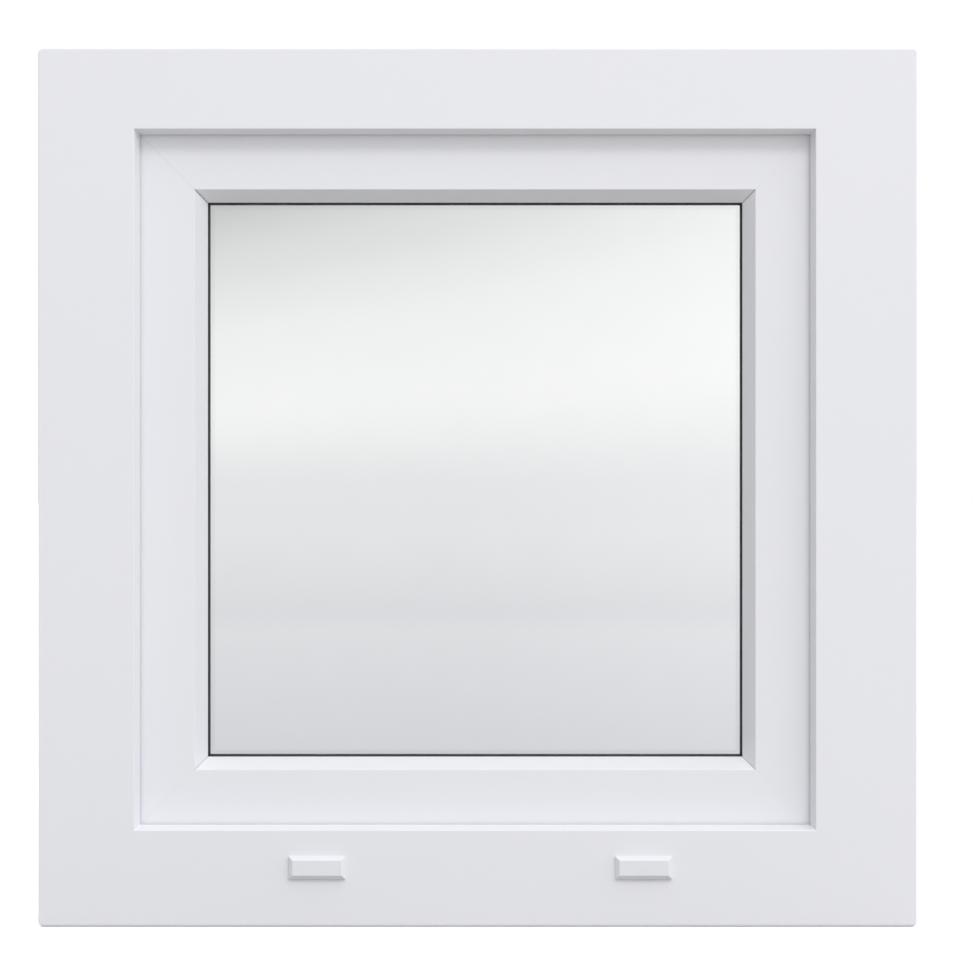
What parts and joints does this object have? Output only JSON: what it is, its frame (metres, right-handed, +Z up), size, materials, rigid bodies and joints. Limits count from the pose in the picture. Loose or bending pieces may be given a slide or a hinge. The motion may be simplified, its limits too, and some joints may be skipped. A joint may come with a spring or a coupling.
{
  "type": "upvc window",
  "caption": "Small square inward-opening window of white hollow plastic profiles with a sealed glass unit, covered drainage slots, and a handle and hinges on the room side.",
  "frame": {"origin": "middle of the flat land on the underside of the frame sill, halfway across its width and depth", "axes": "+X to the right seen from outside, +Y from the outside face towards the room, +Z up"},
  "size_m": [0.6, 0.1443, 0.6],
  "materials": {
    "white_profile": "satin white extruded plastic",
    "cap_plastic": "satin white moulded plastic",
    "black_seal": "matt black rubber",
    "clear_glass": "clear float glass",
    "spacer_metal": "mill aluminium",
    "dark_sealant": "matt dark sealant",
    "block_plastic": "plain moulded plastic",
    "white_coating": "white powder coating"
  },
  "bodies": {
    "root": {"frame_sill": "white_profile", "frame_head": "white_profile", "frame_left_jamb": "white_profile", "frame_right_jamb": "white_profile", "sash_bottom_rail": "white_profile", "sash_top_rail": "white_profile", "sash_left_stile": "white_profile", "sash_right_stile": "white_profile", "bead_bottom": "white_profile", "bead_top": "white_profile", "bead_left": "white_profile", "bead_right": "white_profile", "frame_seal": "black_seal", "sash_seal": "black_seal", "glazing_gasket": "black_seal", "bead_gasket": "black_seal", "outer_pane": "clear_glass", "inner_pane": "clear_glass", "spacer_bar": "spacer_metal", "edge_sealant": "dark_sealant", "glazing_blocks": "block_plastic", "drain_cap_left": "cap_plastic", "drain_cap_right": "cap_plastic", "handle_rose": "white_coating", "handle_lever": "white_coating", "lower_hinge_bracket": "white_coating", "lower_hinge_leaf": "white_coating", "lower_hinge_pin": "white_coating", "upper_hinge_bracket": "white_coating", "upper_hinge_leaf": "white_coating", "upper_hinge_pin": "white_coating"}
  },
  "joints": []
}
